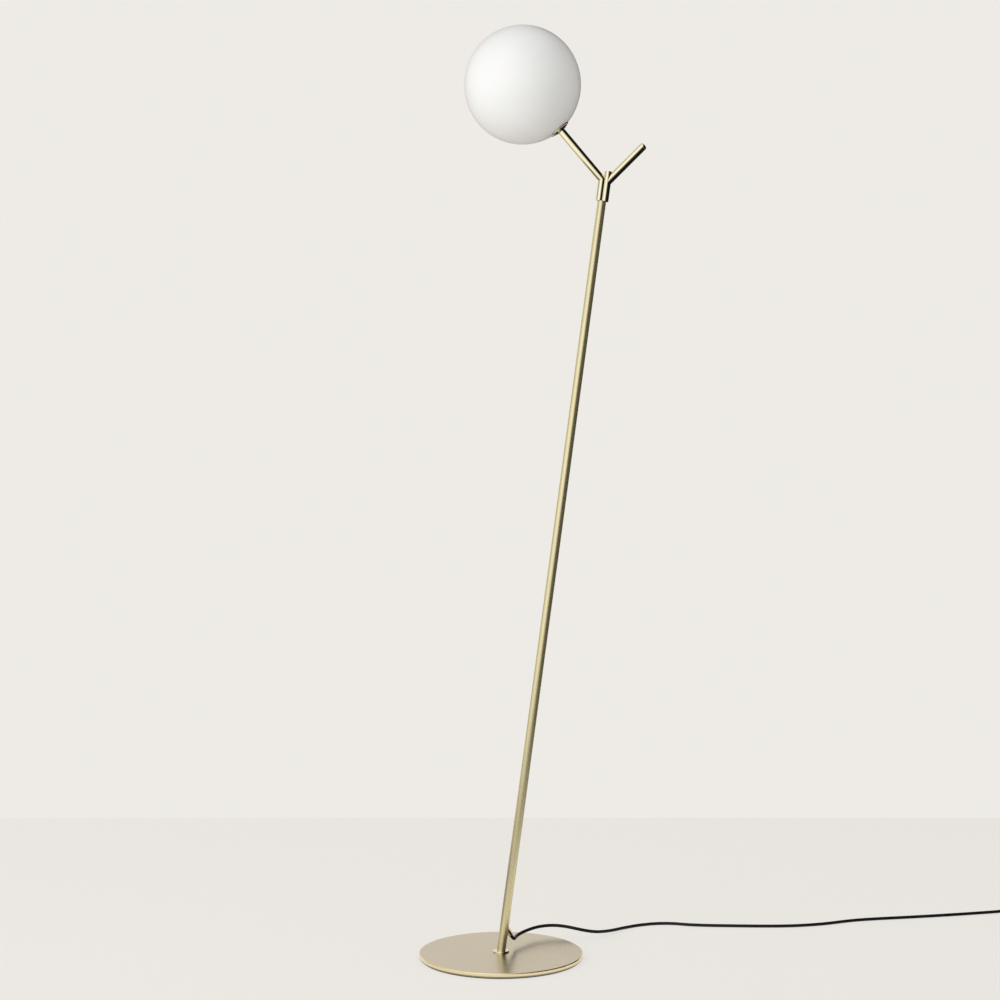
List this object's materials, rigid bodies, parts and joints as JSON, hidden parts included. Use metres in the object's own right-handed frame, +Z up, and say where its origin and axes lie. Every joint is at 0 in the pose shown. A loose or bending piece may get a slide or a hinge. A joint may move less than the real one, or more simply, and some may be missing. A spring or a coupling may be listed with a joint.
{
  "type": "globe floor lamp",
  "caption": "Floor lamp with a leaning brass pole on a round base, a swivelling forked head, an opal glass globe on its arm and a mains lead with a foot switch.",
  "frame": {"origin": "on the floor, under the middle of the round base", "axes": "+Z up, +X the way the pole leans, -Y towards the viewer; the arm and the globe point to -X and up at rest"},
  "size_m": [1.3022, 0.479, 1.5925],
  "materials": {
    "satin_brass": "brushed satin",
    "pole_brass": "satin",
    "bright_brass": "polished",
    "steel": "plain",
    "plated_pins": "plated",
    "black_rubber": "matte",
    "clear_silicone": "milky silicone",
    "black_plastic": "fine grained",
    "pad_foam": "matte foam",
    "opal_glass": "satin opal",
    "ceramic": "unglazed white",
    "bulb_glass": "frosted"
  },
  "bodies": {
    "stand": {"base_plate": "satin_brass", "base_pad": "pad_foam", "foot_ring": "bright_brass", "foot_plug": "steel", "foot_washer": "steel", "foot_screw": "steel", "pole_tube": "pole_brass", "cable_outlet": "bright_brass", "strain_relief": "black_rubber", "inner_lead": "black_rubber", "swivel_bush": "bright_brass", "swivel_washer": "black_plastic", "cord_run": "black_rubber", "switch_base": "black_plastic", "switch_cover": "black_plastic", "switch_screws": "steel", "switch_block": "ceramic", "cord_link": "black_rubber", "cord_coil": "black_rubber", "coil_tie": "black_plastic", "cord_tail": "black_rubber", "plug_body": "black_plastic", "plug_pins": "plated_pins"},
    "head": {"head_block": "bright_brass", "head_cap": "bright_brass", "pivot_tube": "bright_brass", "wave_washer": "steel", "retaining_ring": "steel", "stub_tube": "bright_brass", "stub_cap": "bright_brass", "arm_tube": "bright_brass", "arm_insert": "bright_brass", "arm_nipple": "steel", "globe_dish": "bright_brass", "glass_carrier": "steel", "globe_gasket": "clear_silicone", "carrier_nut": "steel", "holder_bracket": "steel", "lampholder": "ceramic", "holder_screws": "steel", "arm_lead": "black_rubber"},
    "globe": {"globe_glass": "opal_glass"},
    "bulb": {"bulb_base": "ceramic", "bulb_pins": "plated_pins", "bulb_capsule": "bulb_glass"},
    "button": {"switch_button": "black_plastic"}
  },
  "joints": [
    {"name": "head_swivel", "type": "hinge", "parent": "stand", "child": "head", "pos_m": [0.17253, 0, 1.29397], "axis": [0.1331, 0, 0.9911], "range_deg": [-165, 165]},
    {"name": "globe_lift", "type": "slide", "parent": "head", "child": "globe", "axis": [-0.6428, 0, 0.766], "range_m": [0, 0.09]},
    {"name": "bulb_pull", "type": "slide", "parent": "head", "child": "bulb", "axis": [-0.6428, 0, 0.766], "range_m": [0, 0.016]},
    {"name": "switch_press", "type": "slide", "parent": "stand", "child": "button", "axis": [0, 0, -1], "range_m": [0, 0.0025], "stiffness_N_per_m": 800}
  ]
}
